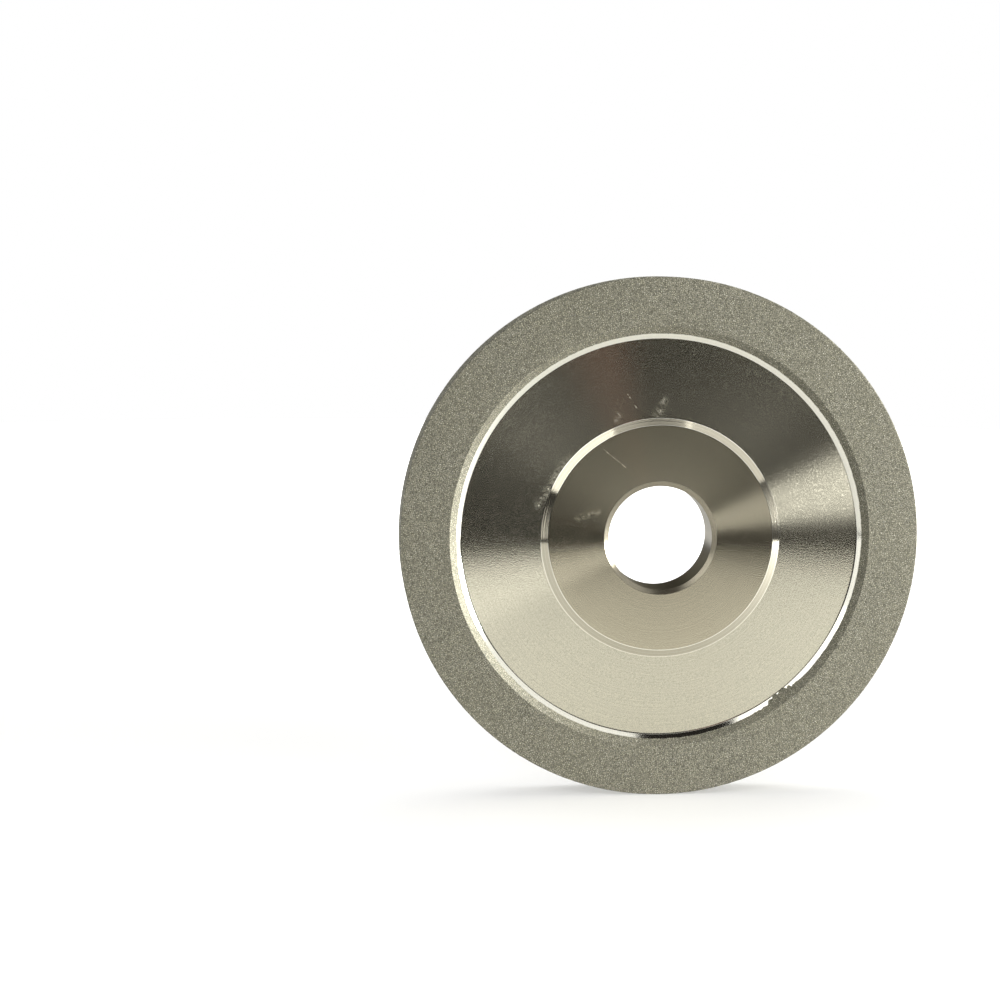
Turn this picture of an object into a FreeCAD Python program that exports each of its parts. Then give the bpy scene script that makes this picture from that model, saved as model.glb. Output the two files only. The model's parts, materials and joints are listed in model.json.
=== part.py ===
import FreeCAD, Part
import os
import Sketcher

# A flat diamond grinding wheel: a turned steel core with one layer of diamond grit plated on three sides of its rim.
# Millimetres. The origin is the wheel's centre, the wheel turns about Y, and its front face looks along -Y.
# Every section is drawn in a sketch whose first coordinate runs along the wheel's axis and whose second is the radius.

sizes = {
    "wheel_dia": 100.0,  # over the grit
    "wheel_thick": 10.0,  # over the grit on both faces
    "grit_thick": 0.15,  # one layer of grains in its nickel bond
    "grit_foot_dia": 78.4,  # where the grit ends on the rim's inner bevel
    "grit_corner": 0.1,  # round on the two outer corners of the rim
    "bevel_angle": 30.0,  # the rim's inner bevel, measured from the wheel's face
    "web_edge_dia": 76.6,  # where the web meets that bevel
    "web_edge_deep": 1.3,  # below the rim's steel face
    "web_corner": 0.5,  # the turning tool's nose radius in that corner
    "hub_foot_dia": 46.2,  # where the hub's bevel meets the web
    "hub_foot_deep": 0.55,  # below the hub's face
    "hub_foot_corner": 0.3,
    "hub_face_dia": 43.4,  # the flat that the clamp flange presses on
    "bore_dia": 20.0,
    "bore_bevel_wide": 0.9,  # along the radius
    "bore_bevel_deep": 0.5,  # along the axis
}

doc = FreeCAD.newDocument("diamond_grinding_wheel")
sheet = doc.addObject("Spreadsheet::Sheet", "Sizes")
for row, (alias, value) in enumerate(sizes.items(), start=1):
    sheet.set(f"A{row}", alias)
    sheet.set(f"B{row}", str(value))
    sheet.setAlias(f"B{row}", alias)
doc.recompute()

# Places that several sections share, as expressions on the sheet's cells.
OUTSIDE = "Sizes.wheel_dia / 2"
FRONT = "Sizes.wheel_thick / 2"
STEEL_OUTSIDE = f"{OUTSIDE} - Sizes.grit_thick"
STEEL_FACE = f"{FRONT} - Sizes.grit_thick"
BORE = "Sizes.bore_dia / 2"
BEVEL_SLOPE = "tan(Sizes.bevel_angle)"
WEB_EDGE = "Sizes.web_edge_dia / 2"
WEB_EDGE_FACE = f"{STEEL_FACE} - Sizes.web_edge_deep"
BEVEL_TOP = f"{WEB_EDGE} + Sizes.web_edge_deep / {BEVEL_SLOPE}"
HUB_FOOT = "Sizes.hub_foot_dia / 2"
HUB_FOOT_FACE = f"{STEEL_FACE} - Sizes.hub_foot_deep"
GRIT_FOOT = "Sizes.grit_foot_dia / 2"
GRIT_FOOT_FACE = f"{WEB_EDGE_FACE} + ({GRIT_FOOT} - {WEB_EDGE}) * {BEVEL_SLOPE}"


def negated(expression):
    return f"-({expression})"


def value_of(expression):
    return float(sheet.evalExpression(expression))


def new_body(label):
    body = doc.addObject("PartDesign::Body", label)
    body.Label = label
    return body


def draw_section(body, name, corners):
    """A closed outline on the body's YZ plane, each corner held by two expressions: along the axis, and radius."""
    sketch = body.newObject("Sketcher::SketchObject", name)
    planes = [plane for plane in body.Origin.OriginFeatures if plane.Role == "YZ_Plane"]
    sketch.AttachmentSupport = [(planes[0], "")]
    sketch.MapMode = "FlatFace"
    places = [FreeCAD.Vector(value_of(along), value_of(radius), 0) for along, radius in corners]
    count = len(places)
    for i in range(count):
        sketch.addGeometry(Part.LineSegment(places[i], places[(i + 1) % count]), False)
    for i in range(count):
        end, start = 2, 1
        sketch.addConstraint(Sketcher.Constraint("Coincident", i, end, (i + 1) % count, start))
    for i, (along, radius) in enumerate(corners):
        for kind, expression, size in (("DistanceX", along, places[i].x), ("DistanceY", radius, places[i].y)):
            origin, start = -1, 1
            number = sketch.addConstraint(Sketcher.Constraint(kind, origin, start, i, start, size))
            sketch.setExpression(f"Constraints[{number}]", expression)
    doc.recompute()
    return sketch


def turn_section(body, name, sketch):
    """Turns a section about the wheel's axis, which is the sketch's first axis."""
    turned = body.newObject("PartDesign::Revolution", name)
    turned.Profile = sketch
    turned.ReferenceAxis = (sketch, ["H_Axis"])
    turned.Angle = 360.0
    doc.recompute()
    return turned


def round_corners(body, name, base, radius, along, size):
    """Rounds the circular edges of that radius at that distance each side of the middle plane."""
    found = []
    for number, edge in enumerate(base.Shape.Edges, start=1):
        circle = edge.Curve
        if not isinstance(circle, Part.Circle):
            continue
        same_radius = abs(circle.Radius - value_of(radius)) < 1e-4
        same_place = abs(abs(circle.Center.y) - value_of(along)) < 1e-4
        if same_radius and same_place:
            found.append(f"Edge{number}")
    fillet = body.newObject("PartDesign::Fillet", name)
    fillet.Base = (base, found)
    fillet.setExpression("Radius", size)
    doc.recompute()
    print(f"{name}: {len(found)} edges rounded")
    return fillet


def make_steel_core():
    """The turned disc: rim, a bevel down to the thinner web, a raised hub on each side and the bore."""
    body = new_body("steel_core")
    half = [
        (f"{STEEL_FACE} - Sizes.bore_bevel_deep", BORE),
        (STEEL_FACE, f"{BORE} + Sizes.bore_bevel_wide"),
        (STEEL_FACE, "Sizes.hub_face_dia / 2"),
        (HUB_FOOT_FACE, HUB_FOOT),
        (WEB_EDGE_FACE, WEB_EDGE),
        (STEEL_FACE, BEVEL_TOP),
        (STEEL_FACE, STEEL_OUTSIDE),
    ]
    other_half = [(negated(along), radius) for along, radius in reversed(half)]
    sketch = draw_section(body, "core_section", half + other_half)
    turned = turn_section(body, "core_turned", sketch)
    webbed = round_corners(body, "web_corners", turned, WEB_EDGE, WEB_EDGE_FACE, "Sizes.web_corner")
    round_corners(body, "hub_corners", webbed, HUB_FOOT, HUB_FOOT_FACE, "Sizes.hub_foot_corner")
    return body


def make_grit_ring(label, half_turns):
    """The plated ring on one face of the rim: flat outside, and running down the inner bevel to its foot."""
    body = new_body(label)
    corners = [
        (STEEL_FACE, STEEL_OUTSIDE),
        (STEEL_FACE, BEVEL_TOP),
        (GRIT_FOOT_FACE, GRIT_FOOT),
        (
            f"{GRIT_FOOT_FACE} + Sizes.grit_thick * cos(Sizes.bevel_angle)",
            f"{GRIT_FOOT} - Sizes.grit_thick * sin(Sizes.bevel_angle)",
        ),
        (FRONT, f"{BEVEL_TOP} - Sizes.grit_thick * tan(Sizes.bevel_angle / 2)"),
        (FRONT, STEEL_OUTSIDE),
    ]
    sketch = draw_section(body, f"{label}_section", corners)
    turn_section(body, f"{label}_turned", sketch)
    upright = FreeCAD.Vector(0, 0, 1)
    body.Placement = FreeCAD.Placement(FreeCAD.Vector(), FreeCAD.Rotation(upright, 180.0 * half_turns))
    return body


def make_rim_grit_band():
    """The plated band round the outside, over the whole thickness of the wheel."""
    body = new_body("rim_grit_band")
    corners = [
        (negated(FRONT), STEEL_OUTSIDE),
        (FRONT, STEEL_OUTSIDE),
        (FRONT, OUTSIDE),
        (negated(FRONT), OUTSIDE),
    ]
    sketch = draw_section(body, "band_section", corners)
    turned = turn_section(body, "band_turned", sketch)
    round_corners(body, "band_corners", turned, OUTSIDE, FRONT, "Sizes.grit_corner")
    return body


sub_parts = [
    make_steel_core(),
    make_grit_ring("rear_grit_ring", 0),
    make_grit_ring("front_grit_ring", 1),
    make_rim_grit_band(),
]
doc.recompute()

for item in doc.Objects:
    if "Invalid" in item.State or "Error" in item.State:
        raise RuntimeError(f"{item.Name} failed: {item.State}")
for part in sub_parts:
    if part.Shape.isNull() or not part.Shape.isValid():
        raise RuntimeError(f"{part.Label} has no valid shape")

os.makedirs("parts", exist_ok=True)
for part in sub_parts:
    part.Shape.exportStep(f"parts/{part.Label}.step")
    box = part.Shape.BoundBox
    print(
        f"{part.Label}: {len(part.Shape.Solids)} solid, {part.Shape.Volume:.1f} mm3,"
        f" {box.XLength:.2f} x {box.YLength:.2f} x {box.ZLength:.2f}"
    )
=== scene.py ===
import json
import math
import random

import bmesh
import bpy
import numpy as np
from mathutils import Matrix, Vector, noise

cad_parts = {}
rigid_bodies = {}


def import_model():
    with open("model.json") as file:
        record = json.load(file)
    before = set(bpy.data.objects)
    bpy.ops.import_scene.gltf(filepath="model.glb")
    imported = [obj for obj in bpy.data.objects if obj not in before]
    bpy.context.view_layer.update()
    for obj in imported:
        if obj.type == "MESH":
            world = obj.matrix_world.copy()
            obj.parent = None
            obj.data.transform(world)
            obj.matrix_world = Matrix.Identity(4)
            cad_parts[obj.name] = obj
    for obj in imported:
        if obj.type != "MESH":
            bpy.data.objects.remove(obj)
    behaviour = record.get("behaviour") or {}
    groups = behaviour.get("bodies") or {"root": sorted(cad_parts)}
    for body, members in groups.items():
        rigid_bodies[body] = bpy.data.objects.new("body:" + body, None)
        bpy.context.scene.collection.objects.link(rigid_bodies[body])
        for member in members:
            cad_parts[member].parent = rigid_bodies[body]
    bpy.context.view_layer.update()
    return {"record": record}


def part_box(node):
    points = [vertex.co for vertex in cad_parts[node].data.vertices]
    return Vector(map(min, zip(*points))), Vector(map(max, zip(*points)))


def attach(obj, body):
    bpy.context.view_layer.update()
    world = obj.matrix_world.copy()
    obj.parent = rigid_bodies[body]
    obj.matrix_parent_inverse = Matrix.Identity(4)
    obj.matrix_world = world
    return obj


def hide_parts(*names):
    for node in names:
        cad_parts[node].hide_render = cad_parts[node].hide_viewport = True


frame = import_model()

mm = 0.001
rootBody = "root"
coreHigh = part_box("steel_core")[1]
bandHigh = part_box("rim_grit_band")[1]
steelRadius, steelFace = coreHigh.z, coreHigh.y  # the wheel turns about Y, so Y is half its thickness
wheelRadius, wheelFace = bandHigh.z, bandHigh.y
boreMount = next(m for m in frame["record"]["mounts"] if m["name"] == "spindle_bore")
boreRadius = boreMount["dims"]["r_mm"] * mm
boreBevelDeep = steelFace - boreMount["dims"]["length_mm"] * mm / 2


# Node helpers: an input can be given as a value or as the socket that feeds it.
def addNode(tree, kind, inputs=None, **settings):
    node = tree.nodes.new(kind)
    for key, value in settings.items():
        setattr(node, key, value)
    for key, value in (inputs or {}).items():
        if isinstance(value, bpy.types.NodeSocket):
            tree.links.new(value, node.inputs[key])
        else:
            node.inputs[key].default_value = value
    return node


def calc(tree, operation, a, b=0.0, clamp=False):
    return addNode(tree, "ShaderNodeMath", {0: a, 1: b}, operation=operation, use_clamp=clamp).outputs[0]


def plus(tree, a, b):
    return calc(tree, "ADD", a, b)


def minus(tree, a, b):
    return calc(tree, "SUBTRACT", a, b)


def times(tree, a, b):
    return calc(tree, "MULTIPLY", a, b)


def distance(tree, a, b):
    return calc(tree, "SQRT", plus(tree, times(tree, a, a), times(tree, b, b)))


def rampOf(tree, value, low, high, toLow=0.0, toHigh=1.0):
    spread = {"Value": value, "From Min": low, "From Max": high, "To Min": toLow, "To Max": toHigh}
    return addNode(tree, "ShaderNodeMapRange", spread, interpolation_type="SMOOTHSTEP").outputs["Result"]


def noiseOf(tree, place, perMetre, detail):
    inputs = {"Vector": place, "Scale": perMetre, "Detail": detail}
    return addNode(tree, "ShaderNodeTexNoise", inputs).outputs[0]


def bumpOf(tree, height, depth, strength=1.0, under=None):
    inputs = {"Strength": strength, "Distance": depth, "Height": height}
    if under:
        inputs["Normal"] = under
    return addNode(tree, "ShaderNodeBump", inputs).outputs[0]


def mixColour(tree, share, first, second, blend="MIX"):
    node = addNode(tree, "ShaderNodeMix", {0: share, 6: first, 7: second}, data_type="RGBA", blend_type=blend)
    return node.outputs[2]


def objectPlace(tree):
    return addNode(tree, "ShaderNodeTexCoord").outputs["Object"]


def newMaterial(name, constants):
    material = bpy.data.materials.new(name)
    material.use_nodes = True
    tree = material.node_tree
    shader = next(n for n in tree.nodes if n.type == "BSDF_PRINCIPLED")
    for key, value in constants.items():
        shader.inputs[key].default_value = value
    return material, tree, shader


def rgb(red, green, blue):
    return (red, green, blue, 1.0)


# The camera is a little above the wheel's axis and to its left. It looks past the wheel,
# which stands on the right of the view.
cameraSet = {
    "spot": (-63.9 * mm, -453.4 * mm, 52.3 * mm),
    "look": (0.0729, 0.9924, -0.0994),
    "roll": math.radians(0.42),
    "lens": 85.4,
    "sensor": 36.0,
    "nearest": 0.01,
}


def placeCamera(s):
    data = bpy.data.cameras.new("studioCamera")
    data.lens = s["lens"]
    data.sensor_width = s["sensor"]
    data.clip_start = s["nearest"]
    camera = bpy.data.objects.new("studioCamera", data)
    bpy.context.scene.collection.objects.link(camera)
    camera.location = s["spot"]
    aim = Vector(s["look"]).to_track_quat("-Z", "Y").to_matrix()
    camera.rotation_euler = (aim @ Matrix.Rotation(s["roll"], 3, "Z")).to_euler()
    bpy.context.scene.camera = camera
    print("camera placed")


placeCamera(cameraSet)


studio = {
    "floorFront": -0.31,
    "floorBack": 1.1,
    "floorTone": rgb(0.86, 0.86, 0.85),
    "floorRough": 0.6,
    "floorGloss": 0.2,
    "floorSegments": 128,
    "floorLift": (0.13, 1.2),  # the table glows more behind the wheel, so that it stays white to its edge
    "liftFrom": (0.05, 0.5),
    "backdrop": rgb(1.0, 1.0, 1.0),
    "room": rgb(0.024, 0.022, 0.02),  # what the metal reflects where there is no lamp
}
# Azimuth and elevation are in degrees. Azimuth 0 is in front of the wheel, and it grows to the right.
lamps = {
    "leftBox": {"azimuth": -38, "elevation": 28, "distance": 1.0, "size": (0.75, 0.6), "glow": 2.3},
    "leftLowBox": {"azimuth": -50, "elevation": 5, "distance": 1.0, "size": (0.42, 0.42), "glow": 1.4},
    "rightBox": {"azimuth": 46, "elevation": 33, "distance": 1.0, "size": (0.7, 0.72), "glow": 1.3},
    "topCard": {"azimuth": 5, "elevation": 36, "distance": 1.1, "size": (0.6, 0.14), "glow": 0.85},
    "warmCard": {
        "azimuth": 1, "elevation": 18, "distance": 1.1, "size": (0.1, 0.34), "glow": 0.4,
        "tint": (1.0, 0.54, 0.44),
    },
    "rightLowBox": {"azimuth": 66, "elevation": 2, "distance": 1.0, "size": (0.3, 0.34), "glow": 1.4},
    "sideLamp": {
        "azimuth": 62, "elevation": 5.8, "distance": 1.2, "size": (0.2, 0.29), "glow": 215,
        "shadow": False,
    },
    "overhead": {"azimuth": 180, "elevation": 75, "distance": 0.9, "size": (1.3, 0.8), "glow": 1.5},
    "leftBackBox": {"azimuth": -135, "elevation": 25, "distance": 1.1, "size": (0.7, 0.8), "glow": 1.4},
    "rightBackBox": {"azimuth": 135, "elevation": 25, "distance": 1.1, "size": (0.7, 0.8), "glow": 1.4},
}


def placeLamp(name, s):
    data = bpy.data.lights.new(name, "AREA")
    data.shape = "RECTANGLE"
    data.size, data.size_y = s["size"]
    data.energy = s["glow"] * math.pi * data.size * data.size_y
    data.color = s.get("tint", (1, 1, 1))
    data.use_shadow = s.get("shadow", True)
    lamp = bpy.data.objects.new(name, data)
    bpy.context.scene.collection.objects.link(lamp)
    azimuth, elevation = math.radians(s["azimuth"]), math.radians(s["elevation"])
    level = math.cos(elevation)
    toward = Vector((math.sin(azimuth) * level, -math.cos(azimuth) * level, math.sin(elevation)))
    lamp.location = toward * s["distance"]
    lamp.rotation_euler = toward.to_track_quat("Z", "Y").to_euler()


def floorMaterial(s):
    fixed = {
        "Base Color": s["floorTone"],
        "Roughness": s["floorRough"],
        "Specular IOR Level": s["floorGloss"],
        "Emission Color": s["backdrop"],
    }
    material, tree, shader = newMaterial("paleTable", fixed)
    behind = addNode(tree, "ShaderNodeSeparateXYZ", {0: objectPlace(tree)}).outputs["Y"]
    tree.links.new(rampOf(tree, behind, *s["liftFrom"], *s["floorLift"]), shader.inputs["Emission Strength"])
    return material


def layFloor(s):
    mesh = bpy.data.meshes.new("floor")
    shape = bmesh.new()
    radius = (s["floorBack"] - s["floorFront"]) / 2
    bmesh.ops.create_circle(shape, cap_ends=True, segments=s["floorSegments"], radius=radius)
    shape.to_mesh(mesh)
    shape.free()
    mesh.transform(Matrix.Translation((0, s["floorFront"] + radius, -wheelRadius)))
    mesh.materials.append(floorMaterial(s))
    floor = bpy.data.objects.new("floor", mesh)
    bpy.context.scene.collection.objects.link(floor)


def lightRoom(s):
    world = bpy.data.worlds.new("studio")
    bpy.context.scene.world = world
    world.use_nodes = True
    tree = world.node_tree
    tree.nodes.clear()
    seen = addNode(tree, "ShaderNodeLightPath").outputs["Is Camera Ray"]
    colour = mixColour(tree, seen, s["room"], s["backdrop"])
    light = addNode(tree, "ShaderNodeBackground", {"Color": colour, "Strength": 1.0})
    addNode(tree, "ShaderNodeOutputWorld", {"Surface": light.outputs[0]})


def setStudio():
    layFloor(studio)
    lightRoom(studio)
    for name, s in lamps.items():
        placeLamp(name, s)
    bpy.context.scene.view_settings.view_transform = "Standard"
    print("studio lit")


setStudio()


# How every turned piece is made: a closed section goes round the wheel's axis on a lathe of nodes.
lathe = {
    "arcStep": math.radians(12),
    "railRadius": 20 * mm,
    "weld": 0.0005 * mm,
}


def roundCorner(before, here, after, radius):
    inward, outward = (here - before).normalized(), (after - here).normalized()
    turn = math.atan2(inward.x * outward.y - inward.y * outward.x, inward.dot(outward))
    first = here - inward * radius * math.tan(abs(turn) / 2)
    side = math.copysign(1, turn)
    centre = first + Vector((-inward.y, inward.x)) * side * radius
    arm = first - centre
    bits = max(2, math.ceil(abs(turn) / lathe["arcStep"]))
    points = []
    for k in range(bits + 1):
        cos, sin = math.cos(turn * k / bits), math.sin(turn * k / bits)
        points.append(centre + Vector((arm.x * cos - arm.y * sin, arm.x * sin + arm.y * cos)))
    return points


# Each corner is along the axis, radius and rounding. A long run gets points a step apart, and one a bite from
# each end, which keeps the smooth shading flat between the rounded corners.
def sectionPath(corners, step, bite):
    places = [Vector(c[:2]) for c in corners]
    count = len(places)
    after = places[1:] + places[:1]
    arcs = [roundCorner(places[i - 1], places[i], after[i], corners[i][2]) for i in range(count)]
    path = []
    for i, arc in enumerate(arcs):
        path += arc
        start, end = arc[-1], arcs[(i + 1) % count][0]
        run = end - start
        if run.length > 4 * bite:
            inner = run.length - 2 * bite
            pieces = max(1, round(inner / step))
            path += [start + run.normalized() * (bite + inner * k / pieces) for k in range(pieces + 1)]
    return path


def latheTree():
    tree = bpy.data.node_groups.new("turnOnLathe", "GeometryNodeTree")
    socket = tree.interface.new_socket
    socket("Section", in_out="INPUT", socket_type="NodeSocketGeometry")
    socket("Segments", in_out="INPUT", socket_type="NodeSocketInt")
    socket("Rail radius", in_out="INPUT", socket_type="NodeSocketFloat")
    socket("Finish", in_out="INPUT", socket_type="NodeSocketMaterial")
    socket("Turned", in_out="OUTPUT", socket_type="NodeSocketGeometry")
    given = addNode(tree, "NodeGroupInput").outputs
    section = addNode(tree, "GeometryNodeMeshToCurve", {"Mesh": given["Section"]})
    rail = addNode(
        tree, "GeometryNodeCurvePrimitiveCircle",
        {"Resolution": given["Segments"], "Radius": given["Rail radius"]},
    )
    swept = addNode(
        tree, "GeometryNodeCurveToMesh", {"Curve": rail.outputs[0], "Profile Curve": section.outputs[0]}
    )
    upright = addNode(
        tree, "GeometryNodeTransform", {"Geometry": swept.outputs[0], "Rotation": (-math.pi / 2, 0, 0)}
    )
    smooth = addNode(tree, "GeometryNodeSetShadeSmooth", {"Geometry": upright.outputs[0]})
    whole = addNode(tree, "GeometryNodeRealizeInstances", {"Geometry": smooth.outputs[0]})
    done = addNode(
        tree, "GeometryNodeSetMaterial", {"Geometry": whole.outputs[0], "Material": given["Finish"]}
    )
    addNode(tree, "NodeGroupOutput", {"Turned": done.outputs[0]})
    return tree


latheNodes = latheTree()


def setInputs(modifier, values):
    for item in modifier.node_group.interface.items_tree:
        if item.in_out == "INPUT" and item.name in values:
            modifier[item.identifier] = values[item.name]


# What the worker's modifier makes becomes a plain mesh, and the worker goes.
def plainMesh(worker, name):
    bpy.context.view_layer.update()
    graph = bpy.context.evaluated_depsgraph_get()
    mesh = bpy.data.meshes.new_from_object(worker.evaluated_get(graph), depsgraph=graph)
    mesh.name = name
    old = worker.data
    bpy.data.objects.remove(worker)
    bpy.data.meshes.remove(old)
    return mesh


def turnSection(name, path, segments, finish, flags=None):
    mesh = bpy.data.meshes.new(name + "Section")
    points = [(radius - lathe["railRadius"], -along, 0) for along, radius in path]
    edges = [(i, (i + 1) % len(points)) for i in range(len(points))]
    mesh.from_pydata(points, edges, [])
    for label, values in (flags or {}).items():
        mesh.attributes.new(label, "FLOAT", "POINT").data.foreach_set("value", values)
    worker = bpy.data.objects.new(name + "Section", mesh)
    bpy.context.scene.collection.objects.link(worker)
    modifier = worker.modifiers.new("lathe", "NODES")
    modifier.node_group = latheNodes
    setInputs(modifier, {"Segments": segments, "Rail radius": lathe["railRadius"], "Finish": finish})
    turned = plainMesh(worker, name)
    shape = bmesh.new()
    shape.from_mesh(turned)
    bmesh.ops.remove_doubles(shape, verts=shape.verts, dist=lathe["weld"])
    bmesh.ops.recalc_face_normals(shape, faces=shape.faces)
    shape.to_mesh(turned)
    shape.free()
    return turned


def showPiece(name, mesh, slot, *nodes):
    piece = bpy.data.objects.new(name, mesh)
    bpy.context.scene.collection.objects.link(piece)
    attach(piece, rootBody)
    if nodes:
        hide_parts(*nodes)
    return piece


# The steel core: hub, web, the bevel up to the rim, the rim and the bore.
core = {
    "segments": 480,
    "step": 1.6 * mm,
    "bite": 0.05 * mm,
    "edge": 0.06 * mm,  # the slight round that plating leaves on a turned edge
    "boreBevelWide": 0.9 * mm,
    "hubFace": 21.7 * mm,
    "hubFoot": 23.1 * mm,
    "hubFootDeep": 0.55 * mm,
    "hubCorner": 0.3 * mm,
    "webEdge": 38.3 * mm,
    "webEdgeDeep": 1.3 * mm,
    "webCorner": 0.5 * mm,
    "bevelAngle": math.radians(30),
    "edgeLine": 0.09 * mm,  # the hub's edge and the corner below it get a bright tone, a painted highlight, this far each side
    "footLine": 0.3 * mm,
    "slack": 0.02 * mm,
    "flatness": 0.985,  # a face whose normal is this much along the axis is flat
}
core["bevelTop"] = core["webEdge"] + core["webEdgeDeep"] / math.tan(core["bevelAngle"])

# How each turned face takes the light.
steelFinish = {
    "web": {"tone": rgb(0.61, 0.58, 0.455), "rough": 0.165, "grain": 1.0, "speckle": 1.0},
    "hub": {"tone": rgb(0.59, 0.54, 0.395), "rough": 0.155, "grain": 1.0, "speckle": 0.8},
    "rimBevel": {"tone": rgb(0.66, 0.645, 0.56), "rough": 0.08, "grain": 0.4, "speckle": 0.3},
    "hubBevel": {"tone": rgb(0.48, 0.45, 0.355), "rough": 0.07, "grain": 0.4, "speckle": 0.3},
    # painted highlight: a near-white tone that stands for the light caught by the hub's edge and the corner
    # at its foot
    "paintedHighlight": {"tone": rgb(0.88, 0.86, 0.75), "rough": 0.08, "grain": 0.4, "speckle": 0.4},
    "boreBevel": {"tone": rgb(0.29, 0.265, 0.20), "rough": 0.28, "grain": 0.9, "speckle": 1.0},
    # the bore is the same steel with a much darker tone: painted shade inside the bore
    "bore": {"tone": rgb(0.17, 0.15, 0.10), "rough": 0.34, "grain": 0.6, "speckle": 1.0},
}
noiseSpread = (0.25, 0.75)  # where most of a noise texture's values lie
speckle = {
    "spacing": 0.22 * mm,
    "depth": 0.006 * mm,
    "darker": 0.16,
    "lighter": 0.12,
    "rough": 0.035,
    "roughFrom": (0.5, 0.8),
}
turningLines = {"perMm": 4.0, "depth": 0.002 * mm, "shade": (0.93, 1.05)}
quarterTurn = 0.25  # the metal is rougher across the tool's marks, which run round the axis, than along them

# Rubs and scratches on the front face: start and end as (x, z) in mm, width in mm, strength.
marks = [
    ((-1.0, 23.2), (0.4, 26.4), 1.3, 0.34),
    ((-8.7, 22.6), (-8.3, 23.6), 0.9, 0.28),
    ((-6.6, 27.6), (-4.9, 25.0), 0.16, 0.6),
    ((-18.3, 14.6), (-23.5, 6.4), 1.3, 0.32),
    ((-11.1, 17.0), (-6.9, 13.6), 0.14, 0.6),
    ((-16.0, 4.0), (-12.2, 5.0), 1.0, 0.3),
    ((8.2, 18.6), (8.8, 19.2), 0.14, 0.4),
    ((5.9, 35.2), (6.2, 35.1), 0.15, 0.35),
]
wear = {"blotchPerMetre": 1500.0, "blotchFrom": (0.35, 0.6), "rough": 0.3}


# One mark is a line with soft sides and round ends, broken up by blotches.
def markMask(tree, split, place, mark):
    (x0, z0), (x1, z1), width, strength = mark
    length = math.hypot(x1 - x0, z1 - z0)
    alongX, alongZ = (x1 - x0) / length, (z1 - z0) / length
    half = length * mm / 2
    fromX = minus(tree, split["X"], x0 * mm)
    fromZ = minus(tree, split["Z"], z0 * mm)
    along = plus(tree, times(tree, fromX, alongX), times(tree, fromZ, alongZ))
    across = minus(tree, times(tree, fromX, -alongZ), times(tree, fromZ, -alongX))
    fromMiddle = calc(tree, "ABSOLUTE", minus(tree, along, half))
    pastEnd = calc(tree, "MAXIMUM", minus(tree, fromMiddle, half), 0.0)
    side = rampOf(tree, distance(tree, pastEnd, across), 0.0, width * mm, 1.0, 0.0)
    blotch = rampOf(tree, noiseOf(tree, place, wear["blotchPerMetre"], 3.0), *wear["blotchFrom"])
    return times(tree, times(tree, side, blotch), strength)


def addWear(tree, rough, split, place):
    worn = markMask(tree, split, place, marks[0])
    for mark in marks[1:]:
        worn = calc(tree, "ADD", worn, markMask(tree, split, place, mark), clamp=True)
    front = calc(tree, "LESS_THAN", split["Y"], 0.0)
    return plus(tree, rough, times(tree, times(tree, worn, front), wear["rough"]))


def steelMaterial(zone, s):
    fixed = {
        "Metallic": 1.0,
        "Roughness": s["rough"],
        "Anisotropic": s["grain"],
        "Anisotropic Rotation": quarterTurn,
    }
    material, tree, shader = newMaterial(zone + "Steel", fixed)
    place = objectPlace(tree)
    split = addNode(tree, "ShaderNodeSeparateXYZ", {0: place}).outputs
    reach = times(tree, distance(tree, split["X"], split["Z"]), 1 / mm)
    rings = {"W": reach, "Scale": turningLines["perMm"], "Detail": 3.0}
    lines = addNode(tree, "ShaderNodeTexNoise", rings, noise_dimensions="1D").outputs[0]
    dots = noiseOf(tree, place, 1 / speckle["spacing"], 1.0)
    darkest, lightest = 1 - speckle["darker"] * s["speckle"], 1 + speckle["lighter"] * s["speckle"]
    ringShade = rampOf(tree, lines, *noiseSpread, *turningLines["shade"])
    shade = times(tree, ringShade, rampOf(tree, dots, *noiseSpread, darkest, lightest))
    tint = addNode(tree, "ShaderNodeCombineColor", {0: shade, 1: shade, 2: shade}).outputs[0]
    tree.links.new(mixColour(tree, 1.0, s["tone"], tint, "MULTIPLY"), shader.inputs["Base Color"])
    roughest = s["rough"] + speckle["rough"] * s["speckle"]
    rough = rampOf(tree, dots, *speckle["roughFrom"], s["rough"], roughest)
    if zone in ("web", "hub"):
        rough = addWear(tree, rough, split, place)
    tree.links.new(rough, shader.inputs["Roughness"])
    bump = bumpOf(tree, lines, turningLines["depth"])
    bump = bumpOf(tree, dots, speckle["depth"] * s["speckle"], under=bump)
    tree.links.new(bump, shader.inputs["Normal"])
    around = addNode(tree, "ShaderNodeTangent", direction_type="RADIAL", axis="Y").outputs[0]
    tree.links.new(around, shader.inputs["Tangent"])
    return material


def coreSection(s):
    half = [
        (steelFace - boreBevelDeep, boreRadius, s["edge"]),
        (steelFace, boreRadius + s["boreBevelWide"], s["edge"]),
        (steelFace, s["hubFace"], s["edge"]),
        (steelFace - s["hubFootDeep"], s["hubFoot"], s["hubCorner"]),
        (steelFace - s["webEdgeDeep"], s["webEdge"], s["webCorner"]),
        (steelFace, s["bevelTop"], s["edge"]),
        (steelFace, steelRadius, s["edge"]),
    ]
    return half + [(-along, radius, rounding) for along, radius, rounding in reversed(half)]


def zoneOf(face, s):
    reach = math.hypot(face.center.x, face.center.z)
    flat = abs(face.normal.y) > s["flatness"]
    onHubEdge = abs(reach - s["hubFace"]) < s["edgeLine"]
    inHubCorner = abs(reach - s["hubFoot"]) < s["footLine"] and not flat
    if reach < boreRadius + s["slack"]:
        return "bore"
    if reach < boreRadius + s["boreBevelWide"] + s["slack"] and not flat:
        return "boreBevel"
    # these thin lines get the painted highlight
    if onHubEdge or inHubCorner:
        return "paintedHighlight"
    if flat and reach < s["hubFace"] + s["slack"]:
        return "hub"
    if flat and s["hubFoot"] < reach < s["webEdge"]:
        return "web"
    return "hubBevel" if reach < (s["hubFoot"] + s["webEdge"]) / 2 else "rimBevel"


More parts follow.
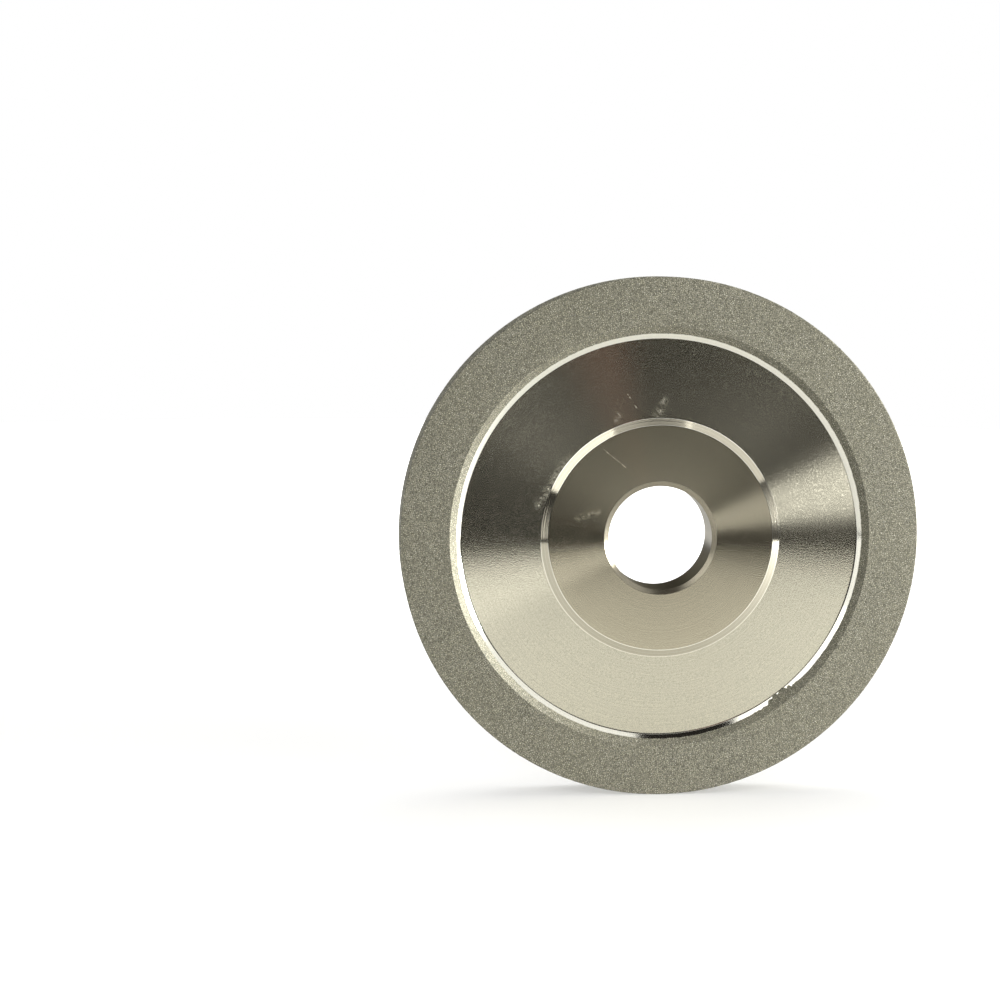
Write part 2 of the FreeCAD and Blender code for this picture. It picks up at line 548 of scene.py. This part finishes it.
def makeCore(s):
    finishes = [steelMaterial(zone, look) for zone, look in steelFinish.items()]
    path = sectionPath(coreSection(s), s["step"], s["bite"])
    mesh = turnSection("turnedCore", path, s["segments"], finishes[0])
    mesh.materials.clear()
    for finish in finishes:
        mesh.materials.append(finish)
    zones = list(steelFinish)
    for face in mesh.polygons:
        face.material_index = zones.index(zoneOf(face, s))
    showPiece("turnedCore", mesh, "turned_steel", "steel_core")
    print("core turned:", len(mesh.polygons), "faces")


makeCore(core)


# The plated coat: a nickel bond over the rim, and the diamond grains that it holds.
coat = {
    "bondThick": 0.09 * mm,
    "segments": 720,
    "step": 0.42 * mm,
    "bite": 0.06 * mm,
    "lipRound": 0.03 * mm,
    "corner": 0.09 * mm,
    "foot": 39.2 * mm,
    "lump": 0.012 * mm,
    "lumpSpacing": 0.9 * mm,
    "ragged": 0.06 * mm,  # how far the plating's edge wanders down the bevel
    "raggedSpacing": 1.1 * mm,
    "raggedReach": 0.5 * mm,
    "spill": 1.5 * mm,  # one place where the plating ran further
    "spillAt": math.radians(-53),
    "spillWide": math.radians(5),
    "spillSpacing": 0.4 * mm,
    "outerShare": 0.5,  # a point higher over the steel than this share of the bond is on its outside
    "gritShare": 0.8,  # and past this share it can carry grains
}
bondLook = {
    "metal": 0.8,
    "rough": 0.58,
    "pebblePerMetre": 6000.0,
    "pebbleFrom": (0.3, 0.7),
    "pebbleTones": (rgb(0.06, 0.058, 0.04), rgb(0.23, 0.22, 0.172)),
    "pebbleDepth": 0.03 * mm,
    "pebbleStrength": 0.6,
    "cloudPerMetre": 90.0,
    "cloudFrom": (0.35, 0.65),
    "cloudMost": 0.25,
    "cloudTone": rgb(0.145, 0.137, 0.097),
}
grains = {
    "kinds": 6,
    "gap": 0.3 * mm,
    "wide": (0.22 * mm, 0.33 * mm),
    "tall": (0.085 * mm, 0.125 * mm),
    "sunk": 0.07 * mm,
    "lean": math.radians(14),
    "seed": 7,
    "slack": 0.001 * mm,  # how far inside the wheel's own size the highest grains stay
}
grainLooks = {
    "grainStraw": {"Base Color": rgb(0.262, 0.25, 0.168), "Roughness": 0.5, "Metallic": 0.1, "IOR": 1.7},
    "grainOlive": {"Base Color": rgb(0.03, 0.032, 0.018), "Roughness": 0.5, "Metallic": 0.1, "IOR": 1.7},
    "grainGrey": {"Base Color": rgb(0.305, 0.295, 0.235), "Roughness": 0.55, "Metallic": 0.5, "IOR": 1.7},
}
# A crystal has as many corners round its foot as above: the skew is in degrees, and the rest on a size of 1.
crystal = {"sides": 4, "skew": 18, "foot": 0.5, "top": (0.2, 0.46), "high": (0.6, 1)}


def bondMaterial(s):
    material, tree, shader = newMaterial("nickelBond", {"Metallic": s["metal"], "Roughness": s["rough"]})
    place = objectPlace(tree)
    pebble = noiseOf(tree, place, s["pebblePerMetre"], 4.0)
    cloud = noiseOf(tree, place, s["cloudPerMetre"], 2.0)
    tone = mixColour(tree, rampOf(tree, pebble, *s["pebbleFrom"]), *s["pebbleTones"])
    cloudShare = rampOf(tree, cloud, *s["cloudFrom"], 0.0, s["cloudMost"])
    tree.links.new(mixColour(tree, cloudShare, tone, s["cloudTone"]), shader.inputs["Base Color"])
    bump = bumpOf(tree, pebble, s["pebbleDepth"], s["pebbleStrength"])
    tree.links.new(bump, shader.inputs["Normal"])
    return material


def heightOverSteel(along, radius):
    slope = core["bevelAngle"]
    overFace = abs(along) - steelFace
    overBevel = overFace * math.cos(slope) + (core["bevelTop"] - radius) * math.sin(slope)
    return max(overFace, overBevel, radius - steelRadius)


def ringSection(s, side):
    slope = core["bevelAngle"]
    footFace = steelFace - core["webEdgeDeep"] + (s["foot"] - core["webEdge"]) * math.tan(slope)
    lip = (footFace + s["bondThick"] * math.cos(slope), s["foot"] - s["bondThick"] * math.sin(slope))
    top = steelFace + s["bondThick"]
    bend = core["bevelTop"] - s["bondThick"] * math.tan(slope / 2)
    corners = [
        (steelFace, steelRadius, 0.0),
        (steelFace, core["bevelTop"], 0.0),
        (footFace, s["foot"], 0.0),
        (*lip, s["lipRound"]),
        (top, bend, 2 * s["bondThick"]),
        (top, steelRadius, 0.0),
    ]
    return [(along * side, radius, rounding) for along, radius, rounding in corners]


def bandSection(s):
    top, face = steelRadius + s["bondThick"], steelFace + s["bondThick"]
    return [
        (-face, steelRadius, 0.0),
        (face, steelRadius, 0.0),
        (face, top, s["corner"]),
        (-face, top, s["corner"]),
    ]


def readVectors(items, key):
    values = np.empty(len(items) * 3, np.float32)
    items.foreach_get(key, values)
    return values.reshape(-1, 3)


# The bond's outside gets low lumps, and its inner edge wanders up and down the bevel.
def roughen(mesh, s, spilled):
    slope = core["bevelAngle"]
    spots, normals = readVectors(mesh.vertices, "co"), readVectors(mesh.vertices, "normal")
    for k, (spot, normal) in enumerate(zip(spots.tolist(), normals.tolist())):
        spot = Vector(spot)
        reach, turn = math.hypot(spot.x, spot.z), math.atan2(spot.z, spot.x)
        moved = Vector()
        if heightOverSteel(spot.y, reach) > s["outerShare"] * s["bondThick"]:
            moved += Vector(normal) * noise.noise(spot / s["lumpSpacing"]) * s["lump"]
        near = 1 - (reach - s["foot"]) / s["raggedReach"]
        if near > 0:
            slide = noise.fractal(spot / s["raggedSpacing"], 1.0, 2.0, 3) * s["ragged"]
            if spilled:
                swell = math.exp(-(((turn - s["spillAt"]) / s["spillWide"]) ** 2))
                slide += swell * s["spill"] * (0.5 + noise.noise(spot / s["spillSpacing"]))
            slide *= min(1.0, near)
            inward = Vector((-spot.x / reach, 0, -spot.z / reach)) * math.cos(slope)
            inward.y = -math.copysign(math.sin(slope), spot.y)
            moved += inward * slide
        spots[k] += moved
    mesh.vertices.foreach_set("co", spots.ravel())
    mesh.update()


def makeBond(name, corners, s, finish, node, spilled=False):
    path = sectionPath(corners, s["step"], s["bite"])
    gritFrom = s["gritShare"] * s["bondThick"]
    flags = {"grit": [1.0 if heightOverSteel(*point) > gritFrom else 0.0 for point in path]}
    mesh = turnSection(name, path, s["segments"], finish, flags)
    roughen(mesh, s, spilled)
    piece = showPiece(name, mesh, "diamond_grit", node)
    print(name, "made:", len(mesh.polygons), "faces")
    return piece


def cutCrystal(name, s, chance):
    shape = bmesh.new()
    for i in range(s["sides"]):
        turn = math.radians(360 / s["sides"] * i + chance.uniform(-s["skew"], s["skew"]))
        shape.verts.new((s["foot"] * math.cos(turn), s["foot"] * math.sin(turn), 0))
        turn += math.radians(180 / s["sides"])
        out = chance.uniform(*s["top"])
        shape.verts.new((out * math.cos(turn), out * math.sin(turn), chance.uniform(*s["high"])))
    bmesh.ops.convex_hull(shape, input=shape.verts)
    bmesh.ops.triangulate(shape, faces=shape.faces)
    mesh = bpy.data.meshes.new(name)
    shape.to_mesh(mesh)
    shape.free()
    return bpy.data.objects.new(name, mesh)


def crystalKinds(s):
    kinds = bpy.data.collections.new("crystalKinds")
    bpy.context.scene.collection.children.link(kinds)
    chance = random.Random(s["seed"])
    for k in range(s["kinds"]):
        kinds.objects.link(cutCrystal(f"crystal{k}", crystal, chance))
    return kinds


def scatterTree():
    tree = bpy.data.node_groups.new("setGrains", "GeometryNodeTree")
    socket = tree.interface.new_socket
    socket("Bond", in_out="INPUT", socket_type="NodeSocketGeometry")
    for label in ("Gap", "Sunk"):
        socket(label, in_out="INPUT", socket_type="NodeSocketFloat")
    for label in ("Smallest", "Largest", "Least turn", "Most turn"):
        socket(label, in_out="INPUT", socket_type="NodeSocketVector")
    for label in ("Share", "Last share", "Last kind", "Seed"):
        socket(label, in_out="INPUT", socket_type="NodeSocketInt")
    socket("Kinds", in_out="INPUT", socket_type="NodeSocketCollection")
    socket("Finish", in_out="INPUT", socket_type="NodeSocketMaterial")
    socket("Grains", in_out="OUTPUT", socket_type="NodeSocketGeometry")
    given = addNode(tree, "NodeGroupInput").outputs

    def drawWhole(last, seed):
        return addNode(
            tree, "FunctionNodeRandomValue", {4: 0, 5: last, "Seed": seed}, data_type="INT"
        ).outputs[2]

    def drawVector(least, most, seed):
        return addNode(
            tree, "FunctionNodeRandomValue", {0: least, 1: most, "Seed": seed}, data_type="FLOAT_VECTOR"
        ).outputs[0]

    # only the outside of the bond, where grit is 1, is left to spread the points on
    gritLeast = 0.6
    grit = addNode(tree, "GeometryNodeInputNamedAttribute", {"Name": "grit"}, data_type="FLOAT").outputs[0]
    bare = addNode(
        tree, "FunctionNodeCompare", {0: grit, 1: gritLeast}, data_type="FLOAT", operation="LESS_THAN"
    )
    outside = addNode(
        tree, "GeometryNodeDeleteGeometry", {"Geometry": given["Bond"], "Selection": bare.outputs[0]},
        domain="POINT",
    )
    triesPerGap = 5.0
    dense = calc(tree, "DIVIDE", triesPerGap, times(tree, given["Gap"], given["Gap"]))
    spread = addNode(
        tree, "GeometryNodeDistributePointsOnFaces",
        {
            "Mesh": outside.outputs[0],
            "Distance Min": given["Gap"],
            "Density Max": dense,
            "Seed": given["Seed"],
        },
        distribute_method="POISSON",
    ).outputs

    # each material has its own share of the points
    mine = addNode(
        tree, "FunctionNodeCompare", {2: drawWhole(given["Last share"], 11), 3: given["Share"]},
        data_type="INT", operation="EQUAL",
    )
    lean = drawVector(given["Least turn"], given["Most turn"], 12)
    turn = addNode(tree, "FunctionNodeEulerToRotation", {0: lean})
    stand = addNode(
        tree, "FunctionNodeRotateRotation", {"Rotation": spread["Rotation"], "Rotate By": turn.outputs[0]},
        rotation_space="LOCAL",
    )
    depth = times(tree, given["Sunk"], -1.0)
    down = addNode(tree, "ShaderNodeVectorMath", {0: spread["Normal"], "Scale": depth}, operation="SCALE")
    lowered = addNode(
        tree, "GeometryNodeSetPosition", {"Geometry": spread["Points"], "Offset": down.outputs[0]}
    )
    kinds = addNode(
        tree, "GeometryNodeCollectionInfo",
        {"Collection": given["Kinds"], "Separate Children": True, "Reset Children": True},
    )
    placed = addNode(
        tree, "GeometryNodeInstanceOnPoints",
        {
            "Points": lowered.outputs[0],
            "Selection": mine.outputs[0],
            "Instance": kinds.outputs[0],
            "Pick Instance": True,
            "Instance Index": drawWhole(given["Last kind"], 13),
            "Rotation": stand.outputs[0],
            "Scale": drawVector(given["Smallest"], given["Largest"], 14),
        },
    )
    whole = addNode(tree, "GeometryNodeRealizeInstances", {"Geometry": placed.outputs[0]})
    done = addNode(
        tree, "GeometryNodeSetMaterial", {"Geometry": whole.outputs[0], "Material": given["Finish"]}
    )
    addNode(tree, "NodeGroupOutput", {"Grains": done.outputs[0]})
    return tree


def holdInside(mesh, slack):
    spots = readVectors(mesh.vertices, "co")
    spots[:, 1] = spots[:, 1].clip(slack - wheelFace, wheelFace - slack)
    shrink = np.minimum(1, (wheelRadius - slack) / np.hypot(spots[:, 0], spots[:, 2]))
    spots[:, 0] *= shrink
    spots[:, 2] *= shrink
    mesh.vertices.foreach_set("co", spots.ravel())
    mesh.update()


def setGrains(name, bond, s, finishes, tree, kinds):
    for share, finish in enumerate(finishes):
        worker = bpy.data.objects.new(name, bond.data.copy())
        bpy.context.scene.collection.objects.link(worker)
        modifier = worker.modifiers.new("grains", "NODES")
        modifier.node_group = tree
        setInputs(modifier, {
            "Gap": s["gap"],
            "Sunk": s["sunk"],
            "Smallest": (s["wide"][0], s["wide"][0], s["tall"][0]),
            "Largest": (s["wide"][1], s["wide"][1], s["tall"][1]),
            "Least turn": (-s["lean"], -s["lean"], 0),
            "Most turn": (s["lean"], s["lean"], math.tau),
            "Share": share,
            "Last share": len(finishes) - 1,
            "Last kind": s["kinds"] - 1,
            "Seed": s["seed"],
            "Kinds": kinds,
            "Finish": finish,
        })
        mesh = plainMesh(worker, f"{name}{share + 1}")
        holdInside(mesh, s["slack"])
        showPiece(f"{name}{share + 1}", mesh, "diamond_grit")
        print(name, share + 1, "set:", len(mesh.polygons), "faces")


def makeCoat(s, g):
    finish = bondMaterial(bondLook)
    finishes = [newMaterial(name, look)[0] for name, look in grainLooks.items()]
    front, rear = ringSection(s, -1), ringSection(s, 1)
    bonds = {
        "frontGrains": makeBond("frontBond", front, s, finish, "front_grit_ring", spilled=True),
        "rearGrains": makeBond("rearBond", rear, s, finish, "rear_grit_ring"),
        "rimGrains": makeBond("rimBond", bandSection(s), s, finish, "rim_grit_band"),
    }
    tree, kinds = scatterTree(), crystalKinds(g)
    for name, bond in bonds.items():
        setGrains(name, bond, g, finishes, tree, kinds)
    for kind in list(kinds.objects):
        bpy.data.meshes.remove(kind.data)
    bpy.data.collections.remove(kinds)


makeCoat(coat, grains)
